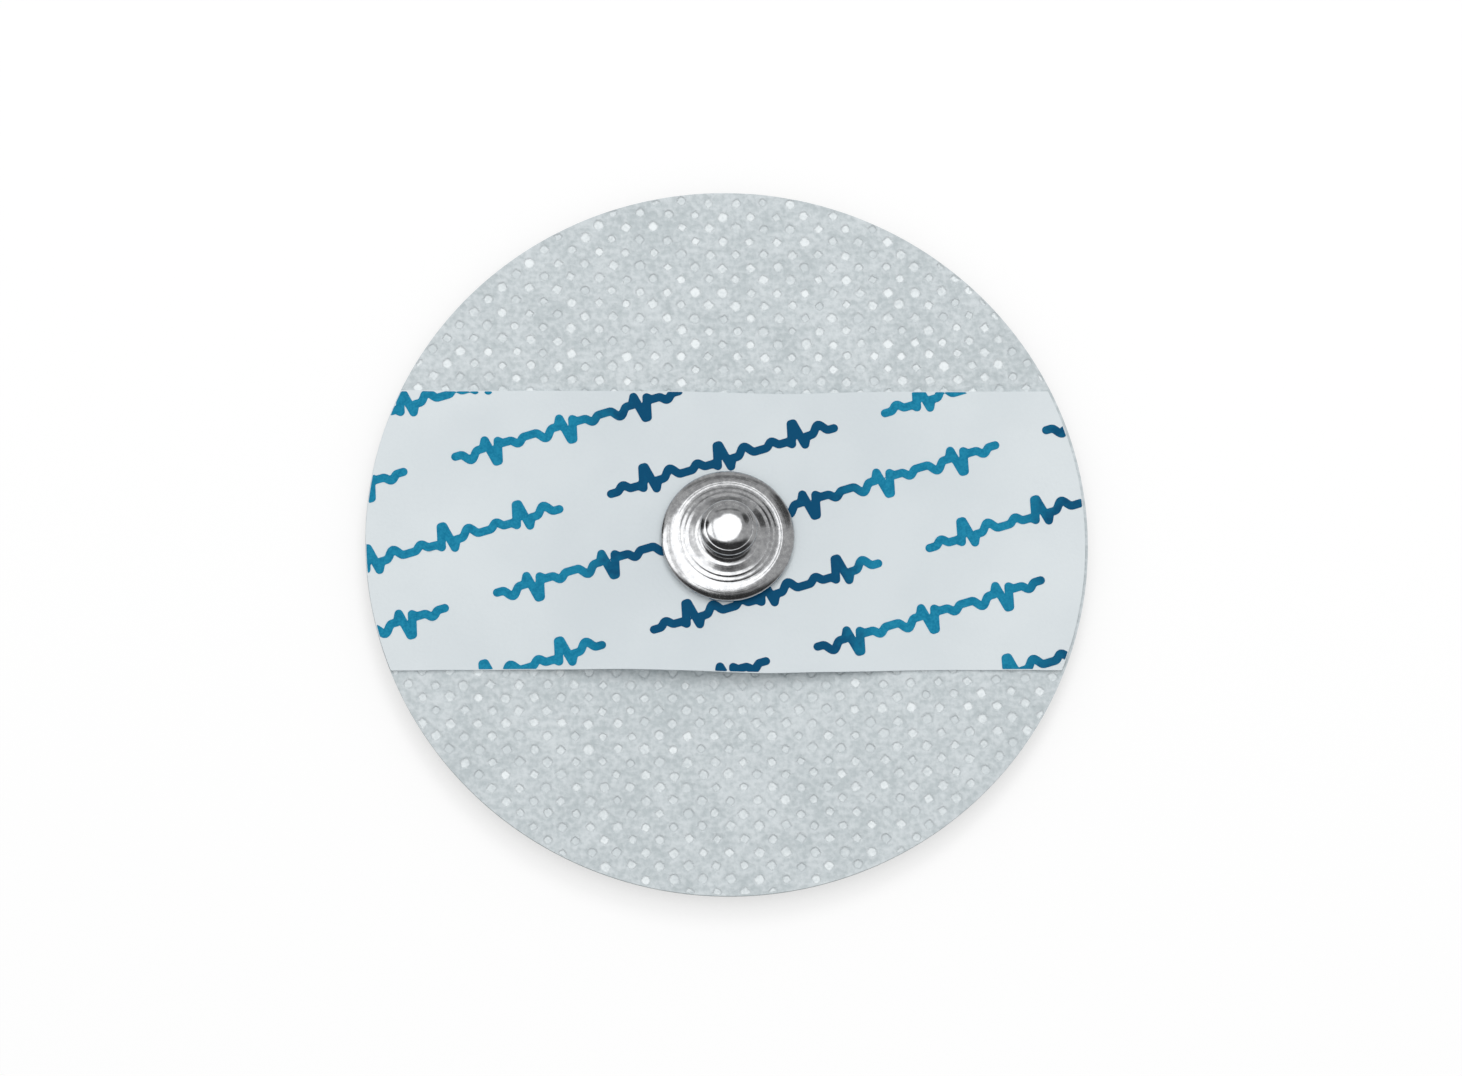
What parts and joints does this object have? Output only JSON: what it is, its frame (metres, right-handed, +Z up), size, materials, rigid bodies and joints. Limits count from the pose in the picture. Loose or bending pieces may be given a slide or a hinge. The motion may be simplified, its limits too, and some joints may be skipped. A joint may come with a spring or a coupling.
{
  "type": "ecg electrode",
  "caption": "Round nonwoven adhesive monitoring electrode with a printed paper strip, a metal snap stud on a sensor rivet, and a gel pad on the skin side.",
  "frame": {"origin": "on the snap stud's axis, which is the centre of the disc, in the plane of the gel pad's skin face", "axes": "+Z up out of the snap stud, +X along the paper strip to its right end, +Y across the strip to the upper edge of the picture"},
  "size_m": [0.05, 0.05, 0.0051],
  "materials": {
    "nonwoven": "spunbond nonwoven, white, slightly fuzzy, with glossy bond dots",
    "adhesive": "thin clear acrylic adhesive, tacky",
    "gel": "wet open-cell foam soaked with conductive gel",
    "paper": "coated paper, matt, very slightly cockled",
    "ink": "blue printing ink, matt, slightly uneven",
    "sensor_coat": "plastic with a dull grey silver and silver chloride coat",
    "stud_metal": "bright nickel plate with fine turned rings"
  },
  "bodies": {
    "root": {"gel_pad": "gel", "adhesive_coat": "adhesive", "nonwoven_tape": "nonwoven", "label_strip": "paper", "label_print": "ink", "sensor_rivet": "sensor_coat", "snap_stud": "stud_metal"}
  },
  "joints": []
}
